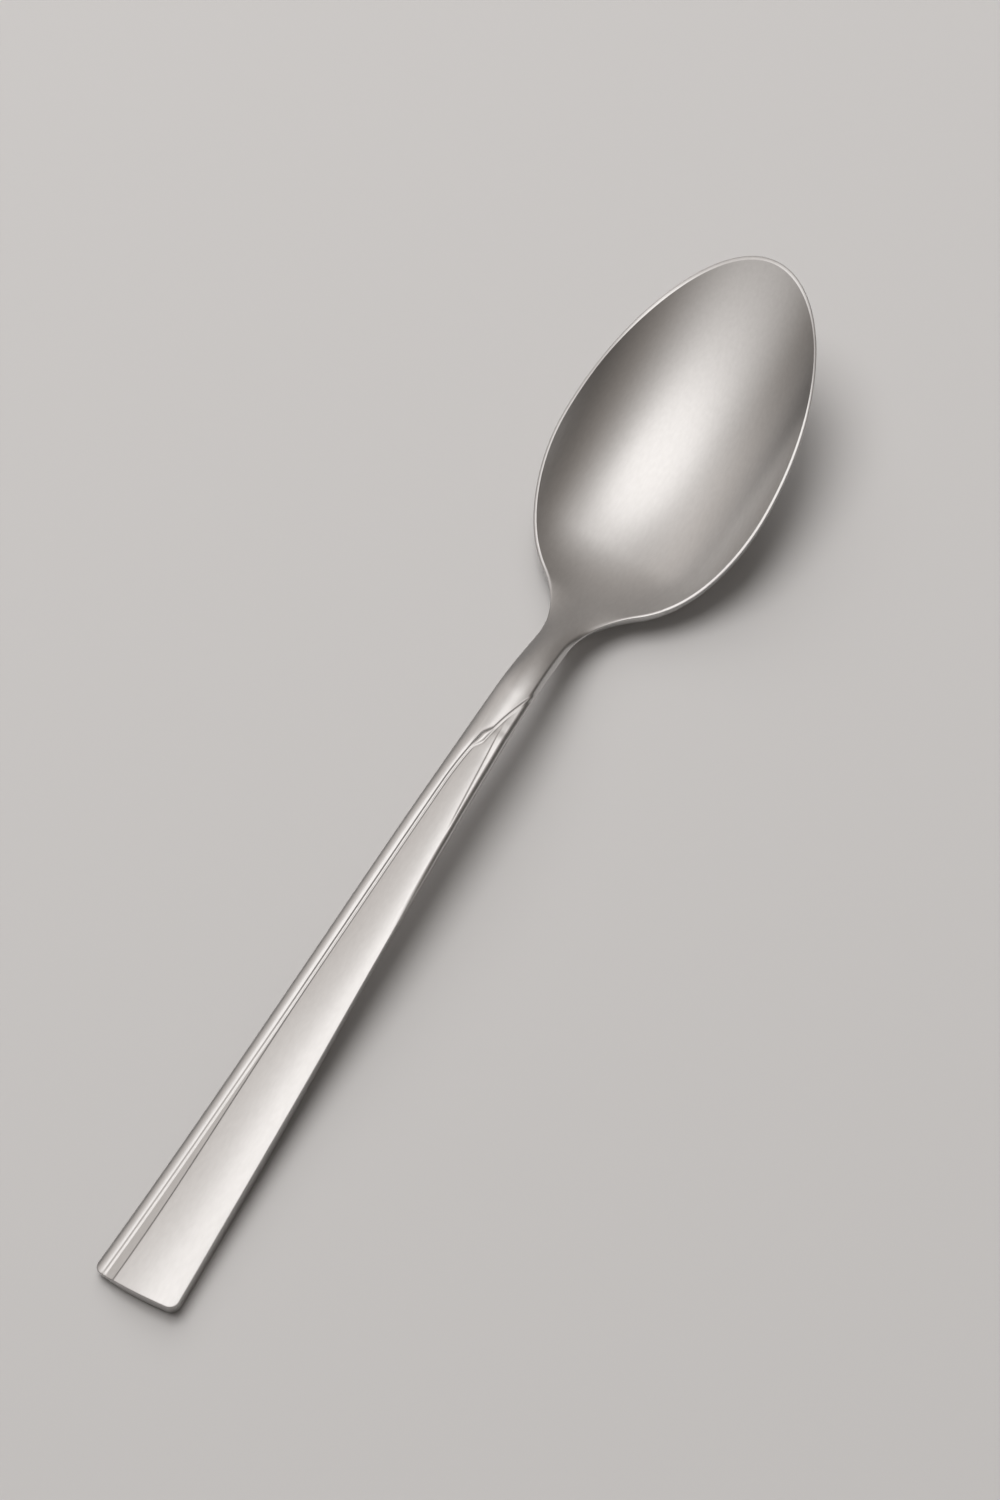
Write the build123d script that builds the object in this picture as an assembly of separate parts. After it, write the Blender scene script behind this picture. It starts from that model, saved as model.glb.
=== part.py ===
from build123d import *
from math import hypot
import os

# Teaspoon: one stamped, dished and coined piece of stainless steel, kept as three zones.
# Sizes are in mm; stations along the spoon are counted from the end of the handle.

# Plan view
LENGTH = 140.0
BOWL_LENGTH = 45.1
BOWL_WIDTH = 27.3
HEEL_RUN = 19.0
END_WIDTH = 10.3
END_BOW = 0.45
END_CORNER = 1.0
NECK_WIDTH = 3.6
SIDE_HOLLOW = 0.18
NECK_SWEEP = 11.0

# Side view, along the middle of the upper face
END_HEIGHT = 2.0
CREST_HEIGHT = 8.0
CREST_RUN = 14.1
SEAT_RUN = 9.8
TIP_HEIGHT = 16.9
TIP_PITCH = 0.85

# Sections
HANDLE_THICKNESS = 2.15
NECK_THICKNESS = 2.4
BOWL_WALL = 0.9
BOWL_DEPTH = 6.4
CROWN = 0.02
NECK_CROWN = 0.17
CROWN_RUN = 19.0

# Eased edges
EDGE_EASE = 0.2
UNDER_EASE = 0.2

# Coined lines on the upper face of the handle
LINE_WIDTH = 0.24
LINE_DEPTH = 0.12
BEAD_WIDTH = 1.4
LEDGE_WIDTH = 1.3
THREAD_WIDTH = 0.42
LEDGE_RUN = 50.0
KINK_BACK = 20.8
KINK_SHIFT = 2.3
SWING_RUN = 5.8
SWING_PITCH = -1.0
LEDGE_PITCH = -0.5
RIGHT_BEAD_WIDTH = 1.4
RIGHT_BEAD_RUN = 15.0

# Zones
NECK_BACK = 10.9
BOWL_BACK = 1.9

OVERRUN = 2.0
STATION_STEP = 5.0

heel = LENGTH - BOWL_LENGTH
widest = heel + HEEL_RUN
seat = heel + SEAT_RUN
crest = heel - CREST_RUN
kink = heel - KINK_BACK
half_bowl = BOWL_WIDTH / 2
half_end = END_WIDTH / 2
half_neck = NECK_WIDTH / 2
taper_end = heel + OVERRUN
hollow_bend = 2 * BOWL_DEPTH / half_bowl**2


def glide(x, x0, z0, pitch0, x1, z1, pitch1):
    # Cubic run between two stations with a set height and pitch at each
    run = x1 - x0
    t = (x - x0) / run
    rise = z0 * (1 + 2 * t) * (1 - t) ** 2 + z1 * t**2 * (3 - 2 * t)
    return rise + run * t * (1 - t) * (pitch0 * (1 - t) - pitch1 * t)


def ease(x, x0, x1):
    # Smooth step from 0 at x0 to 1 at x1
    t = min(max((x - x0) / (x1 - x0), 0), 1)
    return t * t * (3 - 2 * t)


def top(x):
    # Height of the upper face on the middle line: handle, crest, seat of the bowl, tip
    if x < crest:
        return glide(x, 0, END_HEIGHT, 0, crest, CREST_HEIGHT, 0)
    if x < seat:
        return glide(x, crest, CREST_HEIGHT, 0, seat, BOWL_WALL, 0)
    return glide(x, seat, BOWL_WALL, 0, LENGTH, TIP_HEIGHT, TIP_PITCH)


def thickness(x):
    # Sheet thickness: even on the handle, fullest at the neck, thin in the bowl
    shank = HANDLE_THICKNESS + (NECK_THICKNESS - HANDLE_THICKNESS) * ease(x, crest / 2, crest)
    return shank + (BOWL_WALL - shank) * ease(x, crest, seat)


def bend(x):
    # Curvature of the upper face across the spoon: flat handle, crowned neck, hollow bowl
    crown = CROWN + (NECK_CROWN - CROWN) * ease(x, kink - CROWN_RUN, kink)
    return -crown + (hollow_bend + crown) * ease(x, crest + SEAT_RUN / 2, heel)


def under_bend(x):
    # Curvature of the lower face across the spoon: flat handle, bowl parallel to its hollow
    return hollow_bend / (1 + hollow_bend * BOWL_WALL) * ease(x, crest - CREST_RUN, heel)


def taper(x):
    # Half width of the handle, a straight taper drawn in slightly
    t = x / taper_end
    return half_end + (half_neck - half_end) * t - 4 * SIDE_HOLLOW * t * (1 - t)


def section(x):
    # Closed section between the upper and lower face, a little wider than the plan
    wide = half_bowl + OVERRUN / 2
    reach = taper(x) + OVERRUN / 2 + (wide - taper(x)) * ease(x, crest + SEAT_RUN / 2, widest)
    pitch = (top(x + OVERRUN) - top(x - OVERRUN)) / (2 * OVERRUN)
    above = top(x)
    below = above - thickness(x) * hypot(1, pitch)
    lift = bend(x) * reach**2 / 2
    under = under_bend(x) * reach**2 / 2
    upper = Bezier((x, reach, above + lift), (x, 0, above - lift), (x, -reach, above + lift))
    lower = Bezier((x, -reach, below + under), (x, 0, below - under), (x, reach, below + under))
    return Wire([upper, Line(upper @ 1, lower @ 0), lower, Line(lower @ 1, upper @ 0)])


# Plan: tapered handle with a bowed end, oval bowl, and the sweep that joins them
side = ThreePointArc((END_BOW, half_end), (taper_end / 2, taper(taper_end / 2)), (taper_end, half_neck))
other_side = side.mirror(Plane.XZ)
butt = ThreePointArc(side @ 0, (0, 0), other_side @ 0)
handle_plan = make_face([side, Line(side @ 1, other_side @ 1), other_side, butt])
tip_half = EllipticalCenterArc((widest, 0), LENGTH - widest, half_bowl, start_angle=-90, arc_size=180)
heel_half = EllipticalCenterArc((widest, 0), HEEL_RUN, half_bowl, start_angle=90, arc_size=180)
plan = handle_plan + make_face([tip_half, heel_half])
plan = fillet(plan.vertices().sort_by(Axis.X)[2:4], NECK_SWEEP)
plan = fillet(plan.vertices().sort_by(Axis.X)[:2], END_CORNER)

# Body: sections lofted from end to tip, cut to the plan, with every edge eased
count = round((LENGTH + 2 * OVERRUN) / STATION_STEP)
stations = [-OVERRUN + (LENGTH + 2 * OVERRUN) * i / count for i in range(count + 1)]
slab = Solid.make_loft([section(x) for x in stations])
body = slab & extrude(Pos(0, 0, -LENGTH / 2) * plan, LENGTH)
upper_face = body.faces().filter_by(GeomType.BSPLINE).sort_by(Axis.Z)[-1]
body = chamfer(upper_face.edges(), EDGE_EASE)
lower_face = body.faces().filter_by(GeomType.BSPLINE).sort_by(SortBy.AREA)[-2:].sort_by(Axis.Z)[0]
body = chamfer(lower_face.edges(), UNDER_EASE)

# Flat under the end of the handle, on which it rests
below_table = Box(LENGTH, BOWL_WIDTH, LENGTH, align=(Align.MAX, Align.CENTER, Align.MAX))
body = body - Pos(crest / 2, 0, 0) * below_table

# Coined lines: two run up the left side and swing over to the right, one edges the right bead
edge = taper(kink)
apex = (kink + SWING_RUN / 3, RIGHT_BEAD_WIDTH - edge)
fade = (apex[0] - RIGHT_BEAD_RUN, -taper(apex[0] - RIGHT_BEAD_RUN))


def ledge(x):
    # Width of the ledge beside the bead, narrowing to a thread towards the neck
    return LEDGE_WIDTH + (THREAD_WIDTH - LEDGE_WIDTH) * ease(x, 0, LEDGE_RUN)


bead_line = Spline([(x, taper(x) - BEAD_WIDTH) for x in (-OVERRUN, kink / 2, kink - KINK_SHIFT)])
bead_swing = [(kink, 0), (kink + SWING_RUN / 2, -edge / 3), (kink + SWING_RUN, -edge)]
bead_turn = Spline([bead_line @ 1] + bead_swing, tangents=[bead_line % 1, (1, SWING_PITCH)])
ledge_stations = (-OVERRUN, LEDGE_RUN / 2, LEDGE_RUN, kink - 2 * KINK_SHIFT)
ledge_line = Spline([(x, taper(x) - BEAD_WIDTH - ledge(x)) for x in ledge_stations])
ledge_swing = [(kink - KINK_SHIFT, 0), apex]
ledge_turn = Spline([ledge_line @ 1] + ledge_swing, tangents=[ledge_line % 1, (1, LEDGE_PITCH)])
panel_line = Line(apex, (2 * fade[0] - apex[0], 2 * fade[1] - apex[1]))
coined = trace([bead_line, bead_turn, ledge_line, ledge_turn, panel_line], LINE_WIDTH)
floor = Pos(0, 0, -LINE_DEPTH) * slab
body = body - (extrude(Pos(0, 0, -LENGTH / 2) * coined, LENGTH) - floor)

# Zones of the one piece, each stored by itself, with the middle of the spoon over the origin
neck_plane = Plane.YZ.offset(heel - NECK_BACK)
bowl_plane = Plane.YZ.offset(heel - BOWL_BACK)
handle = body.split(neck_plane, keep=Keep.BOTTOM)
front = body.split(neck_plane, keep=Keep.TOP)
neck = front.split(bowl_plane, keep=Keep.BOTTOM)
bowl = front.split(bowl_plane, keep=Keep.TOP)
os.makedirs("parts", exist_ok=True)
for name, zone in (("handle", handle), ("neck", neck), ("bowl", bowl)):
    export_step(Pos(-LENGTH / 2, 0, 0) * zone, f"parts/{name}.step")
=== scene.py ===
from math import cos, hypot, pi, radians, sin, sqrt, tan
import bmesh
import bpy
from mathutils import Matrix, Vector


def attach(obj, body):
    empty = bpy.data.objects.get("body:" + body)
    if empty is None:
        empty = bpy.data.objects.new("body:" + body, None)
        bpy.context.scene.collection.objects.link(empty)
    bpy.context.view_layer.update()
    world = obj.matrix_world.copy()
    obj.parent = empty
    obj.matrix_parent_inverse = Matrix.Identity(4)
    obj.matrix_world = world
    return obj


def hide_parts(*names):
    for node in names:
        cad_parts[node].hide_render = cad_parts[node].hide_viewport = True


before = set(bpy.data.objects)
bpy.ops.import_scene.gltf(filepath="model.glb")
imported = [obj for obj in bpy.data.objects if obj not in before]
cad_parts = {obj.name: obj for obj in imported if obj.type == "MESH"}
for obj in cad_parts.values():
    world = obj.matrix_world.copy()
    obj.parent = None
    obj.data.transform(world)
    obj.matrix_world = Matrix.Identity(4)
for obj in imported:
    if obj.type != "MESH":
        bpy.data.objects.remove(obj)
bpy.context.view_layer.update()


# The spoon: one stainless blank, stamped to its outline, dished at the bowl and coined on the
# handle's face, then tumbled round at its edges and brushed to a satin finish. Sizes are in
# millimetres, and stations along the spoon are counted from the end of the handle.
MM = 0.001
LENGTH = 140.0
BOWL_LENGTH = 45.1
BOWL_WIDTH = 27.3
HEEL_RUN = 19.0
END_WIDTH = 10.3
END_BOW = 0.32
END_SKEW = 0.04
END_BOW_RUN = 12.0
END_CORNER = 1.0
NECK_WIDTH = 3.6
NECK_OVERRUN = 2.0
SIDE_HOLLOW = 0.18
NECK_SWEEP = 11.0
END_HEIGHT = 2.0
CREST_HEIGHT = 8.0
CREST_RUN = 15.4
SEAT_RUN = 9.8
TIP_HEIGHT = 17.1
TIP_PITCH = 0.85
HANDLE_THICKNESS = 2.15
NECK_THICKNESS = 2.4
BOWL_WALL = 0.9
BOWL_DEPTH = 6.55
FLAT_BOTTOM = 0.35
CROWN = 0.02

heel = LENGTH - BOWL_LENGTH
widest = heel + HEEL_RUN
seat = heel + SEAT_RUN
crest = heel - CREST_RUN
tip_run = LENGTH - widest
half_bowl = BOWL_WIDTH / 2
half_end = END_WIDTH / 2
half_neck = NECK_WIDTH / 2
taper_end = heel + NECK_OVERRUN
hollow_bend = 2 * BOWL_DEPTH / half_bowl**2


def glide(x, x0, z0, pitch0, x1, z1, pitch1):
    run = x1 - x0
    t = (x - x0) / run
    rise = z0 * (1 + 2 * t) * (1 - t) ** 2 + z1 * t**2 * (3 - 2 * t)
    return rise + run * t * (1 - t) * (pitch0 * (1 - t) - pitch1 * t)


def ease(x, x0, x1):
    t = min(max((x - x0) / (x1 - x0), 0), 1)
    return t * t * (3 - 2 * t)


def between(pair, share):
    return pair[0] + (pair[1] - pair[0]) * share


def mid_height(x):
    if x < crest:
        return glide(x, 0, END_HEIGHT, 0, crest, CREST_HEIGHT, 0)
    if x < seat:
        return glide(x, crest, CREST_HEIGHT, 0, seat, BOWL_WALL, 0)
    return glide(x, seat, BOWL_WALL, 0, LENGTH, TIP_HEIGHT, TIP_PITCH)


def thickness(x):
    shank = HANDLE_THICKNESS + (NECK_THICKNESS - HANDLE_THICKNESS) * ease(x, crest / 2, crest)
    return shank + (BOWL_WALL - shank) * ease(x, crest, seat)


def taper(x):
    t = x / taper_end
    return half_end + (half_neck - half_end) * t - 4 * SIDE_HOLLOW * t * (1 - t)


# The round that sweeps from the handle's side into the heel of the bowl touches both: the range of
# the angle of its touching point on the heel is halved down to where it also touches the handle.
HALVINGS = 50


def sweep_centre(angle):
    out = Vector((cos(angle) / HEEL_RUN, sin(angle) / half_bowl)).normalized()
    touch = Vector((widest + HEEL_RUN * cos(angle), half_bowl * sin(angle)))
    return touch, touch + NECK_SWEEP * out


least, most = pi / 2, pi
for _ in range(HALVINGS):
    angle = (least + most) / 2
    touch, centre = sweep_centre(angle)
    if centre.y - taper(centre.x) > NECK_SWEEP:
        least = angle
    else:
        most = angle


def half_width(x):
    if x > touch.x:
        return half_bowl * sqrt(max(0, 1 - ((widest - x) / HEEL_RUN) ** 2))
    if x > centre.x:
        return centre.y - sqrt(NECK_SWEEP**2 - (x - centre.x) ** 2)
    return taper(x)


# Coined lines: the bead line and the ledge line run up the left side, then swing over to the right
# edge; a third line edges the bead on the right, where the panel narrows to its apex. A span holds
# the two stations between which a form sets in or fades.
BEAD_WIDTH = 1.2
BEAD_WIDEN = 0.06
WIDEN_SPAN = (20.0, 40.0)
LEDGE_WIDTH = 1.38
THREAD_WIDTH = 0.42
LEDGE_RUN = 40.0
SWING_OUT = 66.0
SLIDE = 0.0113
BEAD_KINK = 74.0
LEDGE_KINK = 71.9
KINK_DROP = 0.6
KINK_RUN = 0.7
PANEL_APEX = (76.0, -1.08)
PANEL_FADE = (60.0, -2.46)


def swing(x, kink):
    return SLIDE * max(0, x - SWING_OUT) ** 2 + KINK_DROP * ease(x, kink - KINK_RUN, kink + KINK_RUN)


def bead_edge(x):
    return taper(x) - BEAD_WIDTH - BEAD_WIDEN * ease(x, *WIDEN_SPAN)


def bead_line(x):
    return bead_edge(x) - swing(x, BEAD_KINK)


def ledge_line(x):
    ledge = LEDGE_WIDTH + (THREAD_WIDTH - LEDGE_WIDTH) * ease(x, 0, LEDGE_RUN)
    return bead_edge(x) - ledge - swing(x, LEDGE_KINK)


def panel_line(x):
    slope = (PANEL_APEX[1] - PANEL_FADE[1]) / (PANEL_APEX[0] - PANEL_FADE[0])
    return PANEL_APEX[1] + slope * (x - PANEL_APEX[0])


# Heights of the coined face over the plain one. The bead on the left is round; past its line a ledge
# rises, narrowing to a thread; a step leads on to the panel, which is crowned. Towards the neck the
# whole face turns into one round back, the panel closes between the lines and the right edge rolls
# down. A pair holds a value on the handle and its value once the ledge has become a thread, or, for
# the roll, once the handle has become the neck.
BEAD_CREST = 0.93
BEAD_BEND = 0.8
BEAD_FLAT = 0.6
COIN_LOW = 0.35
NECK_CROWN = 0.26
NECK_SPAN = (60.0, 78.0)
BACK_SPAN = (86.0, heel + 2)
LINES_SPAN = (79.5, 81.5)
FLANK_WIDTH = 0.7
FLANK_FALL = 0.12
FLANK_SPAN = (70.0, 76.0)
THREAD_SPAN = (26.0, 48.0)
THREAD_PITCH = (0.55, 1.2)
THREAD_DROP = (0.5, 0.75)
LEAST_GAP = 0.05
LEDGE_PITCH = 0.27
STEP_RISE = (0.1, 0.05)
STEP_WIDTH = 0.22
PANEL_RISE = (0.185, 0.25)
PANEL_FALL = (0.04, 0.0)
PANEL_EVEN = (0.5, 0.25)
END_LEVEL = 0.06
END_LEVEL_RUN = 16.0
CREASE = 0.1
FADE_RUN = 4.0
RIGHT_RISE = 0.12
RIGHT_SPAN = (72.0, 77.5)
APEX_SPAN = (75.5, 77.5)
ROLL_PITCH = 1.05
ROLL_BEND = 0.4
ROLL_WIDTH = (0.58, 0.63)
ROLL_SPAN = (44.0, 62.0)
NECK_ROLL_SPAN = (72.0, 80.0)


def left_face(x, y):
    bead = -BEAD_BEND * min(taper(x) - y - BEAD_CREST, BEAD_FLAT) ** 2 / 2
    flank = max(0, 1 - (y - bead_line(x)) / FLANK_WIDTH)
    round_back = -NECK_CROWN * y**2 / 2 - FLANK_FALL * (1 - ease(x, *FLANK_SPAN)) * flank**2
    return bead + (round_back - bead) * ease(x, *NECK_SPAN)


def ledge_face(x, y):
    bead_y, ledge_y = bead_line(x), ledge_line(x)
    thread = ease(x, *THREAD_SPAN)
    pitch, drop = between(THREAD_PITCH, thread), between(THREAD_DROP, thread)
    gap = max(bead_y - ledge_y, LEAST_GAP)
    width = between((min(gap, THREAD_WIDTH), gap), thread)
    t = min((bead_y - y) / width, 1)
    face = left_face(x, bead_y) + width * (pitch * t - (pitch + drop) * t**2 / 2)
    return face + LEDGE_PITCH * max(0, bead_y - width - max(y, ledge_y))


def panel_face(x, y):
    ledge_y, panel_y = ledge_line(x), max(panel_line(x), -taper(x))
    thread = ease(x, *THREAD_SPAN)
    rise = between(PANEL_RISE, thread) - END_LEVEL * (1 - ease(x, 0, END_LEVEL_RUN))
    turn = rise + between(PANEL_FALL, thread)
    even = between(PANEL_EVEN, thread)
    width = max(ledge_y - panel_y, LEAST_GAP)
    past = ledge_y - y
    foot = ledge_face(x, y)

    def crowned(s):
        bend = even * s**2 / 2 + (1 - even) * s**4 / 4
        return foot + between(STEP_RISE, thread) + width * (rise * s - turn * bend)

    face = crowned(min(past / width, 1))
    right_bead = crowned(1) + RIGHT_RISE * (1 - ease(x, *RIGHT_SPAN))
    beyond = ease(panel_y - y, -CREASE, CREASE) * ease(x, PANEL_FADE[0], PANEL_FADE[0] + FADE_RUN)
    face += (right_bead - face) * beyond
    return foot + (face - foot) * ease(past, 0, STEP_WIDTH) * (1 - ease(x, *APEX_SPAN))


def roll_off(depth):
    bent = min(max(0, depth), ROLL_BEND)
    return ROLL_PITCH * (bent**2 / ROLL_BEND / 2 + max(0, depth - ROLL_BEND))


def relief(x, y):
    if y > bead_line(x):
        face = left_face(x, y)
    elif y >= ledge_line(x):
        face = ledge_face(x, y)
    else:
        face = panel_face(x, y)
    neck = ease(x, *NECK_SPAN)
    width = between(ROLL_WIDTH, neck)
    face -= COIN_LOW * (1 - neck) + ease(x, *ROLL_SPAN) * roll_off(width - taper(x) - y)
    neck_roll = ease(x, *NECK_ROLL_SPAN) * roll_off(width - half_width(x) - y)
    back = -(NECK_CROWN * y**2 / 2 + neck_roll) * (1 - ease(x, *BACK_SPAN))
    return back + (face - back) * (1 - ease(x, *LINES_SPAN))


# Upper and lower face: the bowl is hollow, with a flatter bottom; the lower face follows at the
# sheet's thickness, rests on the table and lifts a little at the left and at the handle's end.
UNDER_BEVEL = 0.05
UNDER_LIFT = 0.5
UNDER_RUN = 70.0
END_LIFT = 0.25
END_LIFT_RUN = 6.0
PITCH_STEP = 1.0


def dish(y):
    return y**2 / 2 * (1 - FLAT_BOTTOM + FLAT_BOTTOM * (y / half_bowl) ** 2)


def upper(x, y):
    hollow = ease(x, crest + SEAT_RUN / 2, heel)
    return mid_height(x) + hollow_bend * hollow * dish(y) - CROWN * (1 - hollow) * y**2 / 2 + relief(x, y)


def lower(x, y):
    pitch = (mid_height(x + PITCH_STEP) - mid_height(x - PITCH_STEP)) / (2 * PITCH_STEP)
    bend = hollow_bend / (1 + hollow_bend * BOWL_WALL) * ease(x, crest - CREST_RUN, heel)
    lift = min(UNDER_BEVEL * max(0, y) ** 2, UNDER_LIFT) * (1 - ease(x, 0, UNDER_RUN))
    lift += END_LIFT * (1 - ease(x, 0, END_LIFT_RUN))
    return max(0, mid_height(x) - thickness(x) * hypot(1, pitch) + bend * dish(y)) + lift


# Rows run across the spoon from the handle's end to the tip, closest at the swing of the lines;
# at the tip they bow into the outline. Columns crowd towards the coined side.
CORNER_ROWS = 8
HANDLE_ROWS = 130
SWING_ROWS = 100
HEEL_ROWS = 80
TIP_ROWS = 62
COLUMNS = 104
CROWDING = 0.3
SWING_START = 60.0
SWING_END = 82.0
SLOPE_STEP = 0.1
rows = CORNER_ROWS + HANDLE_ROWS + SWING_ROWS + HEEL_ROWS + TIP_ROWS


def station(row):
    row = row - CORNER_ROWS
    if row <= HANDLE_ROWS:
        return END_CORNER + (SWING_START - END_CORNER) * row / HANDLE_ROWS
    row = row - HANDLE_ROWS
    if row <= SWING_ROWS:
        return SWING_START + (SWING_END - SWING_START) * row / SWING_ROWS
    return SWING_END + (widest - SWING_END) * (row - SWING_ROWS) / HEEL_ROWS


def plan_point(row, across, out):
    tip_row = row - (rows - TIP_ROWS)
    if tip_row > 0:
        p = tip_row / TIP_ROWS
        x = widest + (tip_run + out) * p * sqrt(1 - across**2 / 2)
        return x, (half_bowl + out) * across * sqrt(1 - p**2 / 2)
    if row < CORNER_ROWS:
        turn = pi / 2 * row / CORNER_ROWS
        x = END_CORNER - (END_CORNER + out) * cos(turn)
        half = taper(END_CORNER) - END_CORNER + (END_CORNER + out) * sin(turn)
    else:
        x = station(row)
        slope = (half_width(x + SLOPE_STEP) - half_width(x - SLOPE_STEP)) / (2 * SLOPE_STEP)
        half = half_width(x) + out * hypot(1, slope)
    y = across * half
    bow = END_BOW * (y / half_end) ** 2 - END_SKEW * y
    return x + bow * (1 - ease(x, 0, END_BOW_RUN)), y


def place(x, y, z):
    return Vector((x - LENGTH / 2, y, z)) * MM


def top_point(row, across, out):
    x, y = plan_point(row, across, out)
    return place(x, y, upper(x, y))


def under_point(row, across, out):
    x, y = plan_point(row, across, out)
    return place(x, y, lower(x, y))


# Edges: a small round on the handle; on the bowl a narrow flat land round the rim, a little wider on
# the left and at the tip. RIM_LEVEL tells how level it lies on the right, at the heel and at the tip.
# Along the shank the side is tucked in under the face.
EDGE_ROUND = 0.14
RIM_ROUND = 0.12
RIM_SPAN = (heel - 6, heel + 4)
RIM_LAND = (0.32, 0.34)
RIM_LEVEL = (0.9, 1.1)
LEVEL_SPAN = (widest + 8, LENGTH - 6)
SIDE_SPAN = (-4.0, 4.0)
TIP_LAND = 0.5
TIP_TILT = 0.33
TIP_LEAN = 0.6
TIP_SPAN = (LENGTH - 12, LENGTH - 1)
UNDER_ROUND = (0.12, 0.16)
TUCK = 0.35
TUCK_SPAN = (16.0, 56.0)
ROUND_STEPS = 5
MERGE = 0.0001


def edge_form(row, across):
    x, y = plan_point(row, across, 0)
    bowl, left, tip = ease(x, *RIM_SPAN), ease(y, *SIDE_SPAN), ease(x + TIP_LEAN * y, *TIP_SPAN)
    land = between((between(RIM_LAND, left), TIP_LAND), tip)
    level = between((between(RIM_LEVEL, ease(x, *LEVEL_SPAN)), 1), left) - TIP_TILT * tip
    return between((EDGE_ROUND, land), bowl), bowl * level, between((EDGE_ROUND, RIM_ROUND), bowl)


def under_form(row):
    x = plan_point(row, 0, 0)[0]
    tuck = TUCK * ease(x, *TUCK_SPAN) * (1 - ease(x, *RIM_SPAN))
    return between(UNDER_ROUND, ease(x, 0, UNDER_RUN)), tuck


def rounded(start, corner, end, t):
    return start * (1 - t) ** 2 + corner * 2 * t * (1 - t) + end * t**2


bm = bmesh.new()
row_of = bm.verts.layers.float.new("row")
across_of = bm.verts.layers.float.new("across")
bmesh.ops.create_grid(bm, x_segments=rows, y_segments=COLUMNS, size=1)
for vert in bm.verts:
    vert[row_of] = round((vert.co.x + 1) / 2 * rows)
    vert[across_of] = vert.co.y + CROWDING * (1 - vert.co.y**2)
face_top = bm.faces[:]
rim = [edge for edge in bm.edges if edge.is_boundary]
under = bmesh.ops.duplicate(bm, geom=face_top + bm.edges[:] + bm.verts[:])
under_verts = [item for item in under["geom"] if isinstance(item, bmesh.types.BMVert)]
under_faces = [item for item in under["geom"] if isinstance(item, bmesh.types.BMFace)]
for vert in {v for face in face_top for v in face.verts}:
    spot = vert[row_of], vert[across_of]
    vert.co = top_point(*spot, -edge_form(*spot)[0])
for vert in under_verts:
    vert.co = under_point(vert[row_of], vert[across_of], -sum(under_form(vert[row_of])))
bmesh.ops.reverse_faces(bm, faces=under_faces)

# The land of the rim has a crisp inner edge; the edges of the handle and neck stay soft.
for edge in rim:
    edge.smooth = min(vert.co.x for vert in edge.verts) < place(RIM_SPAN[1], 0, 0).x

down = Vector((0, 0, -MM))
for step in range(1, 2 * ROUND_STEPS + 2):
    grown = bmesh.ops.extrude_edge_only(bm, edges=rim)["geom"]
    rim = [item for item in grown if isinstance(item, bmesh.types.BMEdge)]
    for vert in (item for item in grown if isinstance(item, bmesh.types.BMVert)):
        spot = vert[row_of], vert[across_of]
        if step <= ROUND_STEPS:
            wide, level, fall = edge_form(*spot)
            inner, edge = top_point(*spot, -wide), top_point(*spot, 0)
            edge.z = between((edge.z, inner.z), level)
            vert.co = rounded(inner, edge, edge + fall * down, step / ROUND_STEPS)
        else:
            wide, tuck = under_form(vert[row_of])
            foot, inner = under_point(*spot, -tuck), under_point(*spot, -tuck - wide)
            vert.co = rounded(foot - wide * down, foot, inner, (step - ROUND_STEPS - 1) / ROUND_STEPS)
bmesh.ops.remove_doubles(bm, verts=bm.verts[:], dist=MERGE * MM)
bmesh.ops.recalc_face_normals(bm, faces=bm.faces[:])
for face in bm.faces:
    face.smooth = True
mesh = bpy.data.meshes.new("spoon")
bm.to_mesh(mesh)
bm.free()
spoon = bpy.data.objects.new("spoon", mesh)
bpy.context.scene.collection.objects.link(spoon)

# Satin steel, with a faint grain drawn out along the spoon by the brushing.
satin = bpy.data.materials.new("satin_steel")
satin.use_nodes = True
nodes, links = satin.node_tree.nodes, satin.node_tree.links
steel = nodes["Principled BSDF"]
steel.inputs["Base Color"].default_value = (0.56, 0.55, 0.54, 1)
steel.inputs["Metallic"].default_value = 1.0
steel.inputs["Roughness"].default_value = 0.3
spot = nodes.new("ShaderNodeTexCoord")
along = nodes.new("ShaderNodeMapping")
along.inputs["Scale"].default_value = (0.35, 1, 1)
grain = nodes.new("ShaderNodeTexNoise")
grain.inputs["Scale"].default_value = 2600
grain.inputs["Detail"].default_value = 2
tone = nodes.new("ShaderNodeValToRGB")
tone.color_ramp.elements[0].position = 0.25
tone.color_ramp.elements[0].color = (0.542, 0.532, 0.522, 1)
tone.color_ramp.elements[1].position = 0.75
tone.color_ramp.elements[1].color = (0.578, 0.568, 0.558, 1)
links.new(spot.outputs["Object"], along.inputs["Vector"])
links.new(along.outputs["Vector"], grain.inputs["Vector"])
links.new(grain.outputs["Fac"], tone.inputs["Fac"])
links.new(tone.outputs["Color"], steel.inputs["Base Color"])
mesh.materials.append(satin)
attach(spoon, "root")
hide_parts("bowl", "neck", "handle")


# The table top: a flat sheet of matt, warm grey paper, laid out wide under the spoon, that carries
# its soft shadow. From here on places are in metres.
PAPER_HALF = 3
floor_mesh = bpy.data.meshes.new("floor")
bm = bmesh.new()
bmesh.ops.create_grid(bm, x_segments=1, y_segments=1, size=PAPER_HALF)
bm.to_mesh(floor_mesh)
bm.free()
floor = bpy.data.objects.new("floor", floor_mesh)
bpy.context.scene.collection.objects.link(floor)
paper = bpy.data.materials.new("paper")
paper.use_nodes = True
sheet = paper.node_tree.nodes["Principled BSDF"]
sheet.inputs["Base Color"].default_value = (0.632, 0.612, 0.6, 1)
sheet.inputs["Roughness"].default_value = 0.9
sheet.inputs["Specular IOR Level"].default_value = 0.1
floor_mesh.materials.append(paper)


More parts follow.
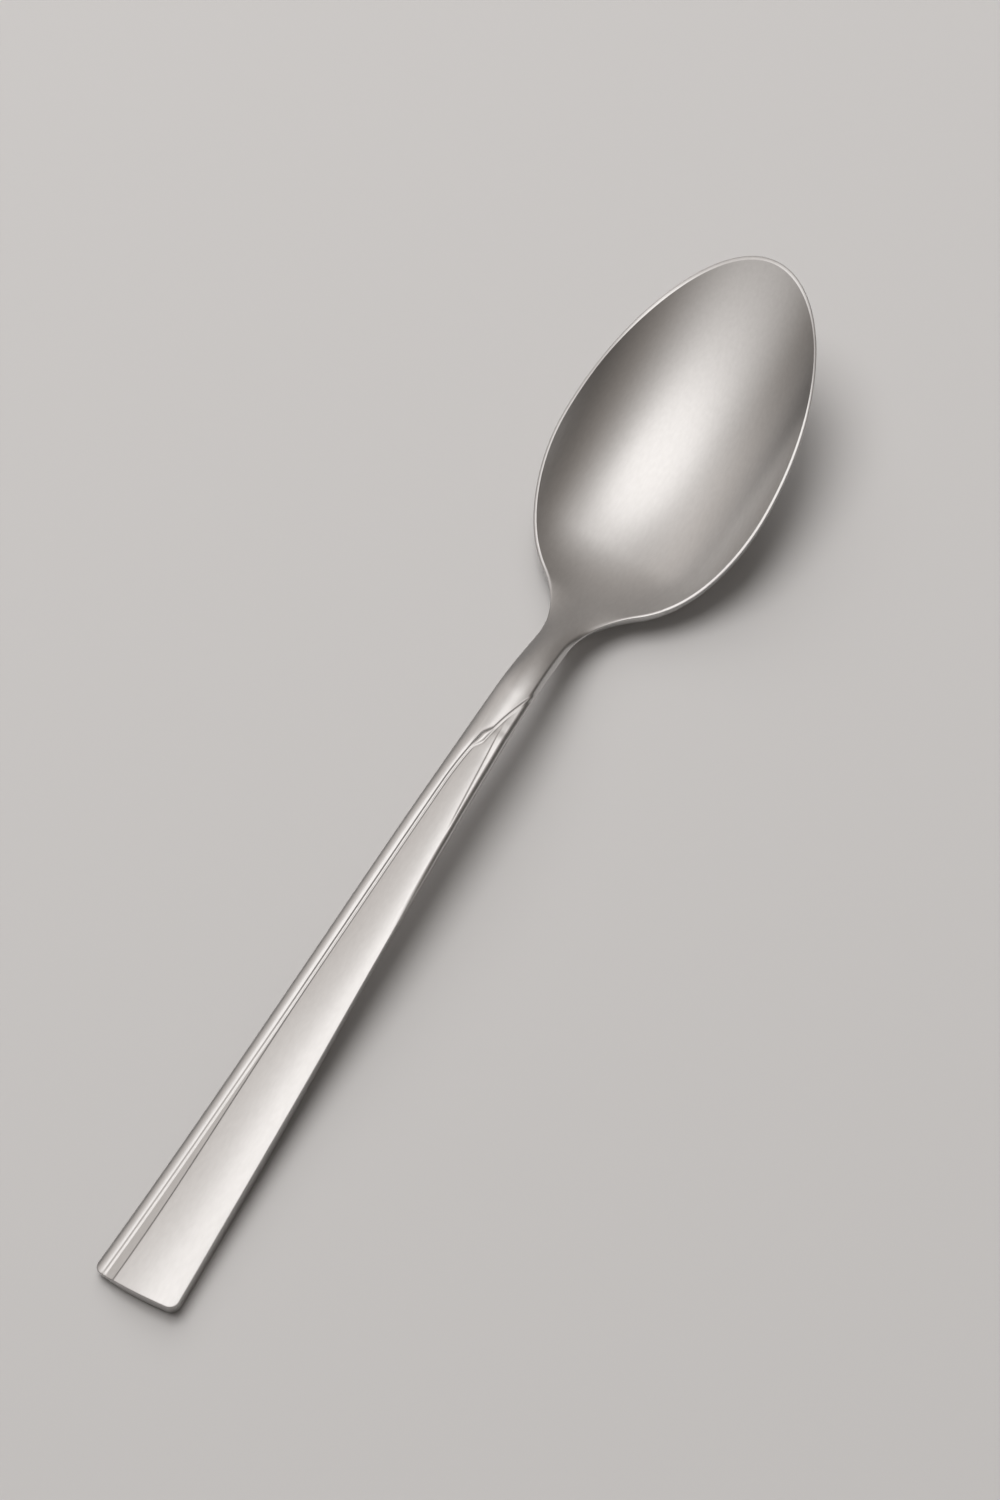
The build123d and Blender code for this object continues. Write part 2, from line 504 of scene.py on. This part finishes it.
# Lamp: a soft oval light hangs low over the bowl and shows only in the steel. It is built up from
# ovals that lie close over each other, each with its length, width and glow, so it dims outwards.
LAMP_PLACE = Vector((0.013, 0.004, 0.215))
LAMP_GAP = 0.004
LAMP_TURN = 153
LAMP_RINGS = ((0.18, 0.14, 0.6), (0.3, 0.195, 0.42), (0.45, 0.3, 0.27), (0.64, 0.44, 0.2))
for number, (length, width, glow) in enumerate(LAMP_RINGS):
    ring = bpy.data.lights.new(f"lamp_{number}", "AREA")
    ring.color = (1, 0.994, 0.996)
    ring.shape = "ELLIPSE"
    ring.size = length
    ring.size_y = width
    ring.energy = glow * pi * pi * length * width / 4
    lamp = bpy.data.objects.new(f"lamp_{number}", ring)
    lamp.location = LAMP_PLACE + Vector((0, 0, LAMP_GAP * number))
    lamp.rotation_euler.z = radians(LAMP_TURN)
    lamp.visible_diffuse = False
    bpy.context.scene.collection.objects.link(lamp)


# Keys: two broad round lights beyond the top of the picture light the table and cast the shadow.
# Each has its bearing in the picture, its height in degrees, its width and its power.
KEYS = ((130, 68, 1.05, 12.7), (98, 44, 1.5, 9.9))
KEY_REACH = 1.5
PICTURE_TURN = 59.0899
picture_right = Vector((cos(radians(PICTURE_TURN)), -sin(radians(PICTURE_TURN)), 0))
picture_up = Vector((sin(radians(PICTURE_TURN)), cos(radians(PICTURE_TURN)), 0))
for number, (bearing, height, width, power) in enumerate(KEYS):
    level = cos(radians(bearing)) * picture_right + sin(radians(bearing)) * picture_up
    aim = cos(radians(height)) * level + Vector((0, 0, sin(radians(height))))
    key_data = bpy.data.lights.new(f"key_{number}", "AREA")
    key_data.shape = "DISK"
    key_data.size = width
    key_data.energy = power
    key = bpy.data.objects.new(f"key_{number}", key_data)
    key.location = KEY_REACH * aim
    key.rotation_euler = aim.to_track_quat("Z", "Y").to_euler()
    key.visible_glossy = False
    bpy.context.scene.collection.objects.link(key)


# Room: dim and warm. In the steel it darkens towards the table, with two paler stretches of wall,
# one at a window to the left of the spoon and one far off beyond the bowl.
WINDOW_WAY = (0.12, 0.8, 0.588)
FAR_WAY = (0.72, 0.52, 0.46)
world = bpy.data.worlds.new("room")
bpy.context.scene.world = world
world.use_nodes = True
nodes, links = world.node_tree.nodes, world.node_tree.links
room = nodes["Background"]
room.inputs["Color"].default_value = (1.04, 1, 0.96, 1)
room.inputs["Strength"].default_value = 0.16
gaze = nodes.new("ShaderNodeTexCoord")


def pale_wall(way, start, glow):
    facing = nodes.new("ShaderNodeVectorMath")
    facing.operation = "DOT_PRODUCT"
    facing.inputs[1].default_value = way
    shine = nodes.new("ShaderNodeMapRange")
    shine.interpolation_type = "SMOOTHSTEP"
    shine.inputs["From Min"].default_value = start
    shine.inputs["To Max"].default_value = glow
    links.new(gaze.outputs["Generated"], facing.inputs[0])
    links.new(facing.outputs["Value"], shine.inputs["Value"])
    return shine.outputs["Result"]


both = nodes.new("ShaderNodeMath")
links.new(pale_wall(WINDOW_WAY, start=0.82, glow=0.43), both.inputs[0])
links.new(pale_wall(FAR_WAY, start=0.75, glow=0.21), both.inputs[1])
walls = nodes.new("ShaderNodeBackground")
walls.inputs["Color"].default_value = (1.03, 0.995, 0.98, 1)
links.new(both.outputs["Value"], walls.inputs["Strength"])

upward = nodes.new("ShaderNodeSeparateXYZ")
dusk = nodes.new("ShaderNodeMapRange")
dusk.inputs["From Min"].default_value = 0.1
dusk.inputs["From Max"].default_value = 0.6
dusk.inputs["To Min"].default_value = 0.02
dusk.inputs["To Max"].default_value = 0.31
ceiling = nodes.new("ShaderNodeBackground")
ceiling.inputs["Color"].default_value = (1.09, 0.994, 0.92, 1)
links.new(gaze.outputs["Generated"], upward.inputs["Vector"])
links.new(upward.outputs["Z"], dusk.inputs["Value"])
links.new(dusk.outputs["Result"], ceiling.inputs["Strength"])

mirrored = nodes.new("ShaderNodeAddShader")
path = nodes.new("ShaderNodeLightPath")
blend = nodes.new("ShaderNodeMixShader")
links.new(ceiling.outputs["Background"], mirrored.inputs[0])
links.new(walls.outputs["Background"], mirrored.inputs[1])
links.new(path.outputs["Is Glossy Ray"], blend.inputs[0])
links.new(room.outputs["Background"], blend.inputs[1])
links.new(mirrored.outputs["Shader"], blend.inputs[2])
links.new(blend.outputs["Shader"], nodes["World Output"].inputs["Surface"])


# Camera: looks steeply down from beyond the handle's end, turned so that the spoon lies slantwise
# in the upright picture.
CAMERA_HEIGHT = 65
CAMERA_REACH = 0.4057
CAMERA_AIM = Vector((0.0057, -0.00052, 0))
VIEW_ANGLE = 24
lift, lean = sin(radians(CAMERA_HEIGHT)), cos(radians(CAMERA_HEIGHT))
up = lift * picture_up + Vector((0, 0, lean))
back = Vector((0, 0, lift)) - lean * picture_up
camera_data = bpy.data.cameras.new("camera")
camera_data.lens = camera_data.sensor_width / 2 / tan(radians(VIEW_ANGLE / 2))
camera = bpy.data.objects.new("camera", camera_data)
turn = Matrix((picture_right, up, back)).transposed().to_4x4()
camera.matrix_world = Matrix.Translation(CAMERA_AIM + CAMERA_REACH * back) @ turn
bpy.context.scene.collection.objects.link(camera)
bpy.context.scene.camera = camera
bpy.context.scene.view_settings.view_transform = "Standard"
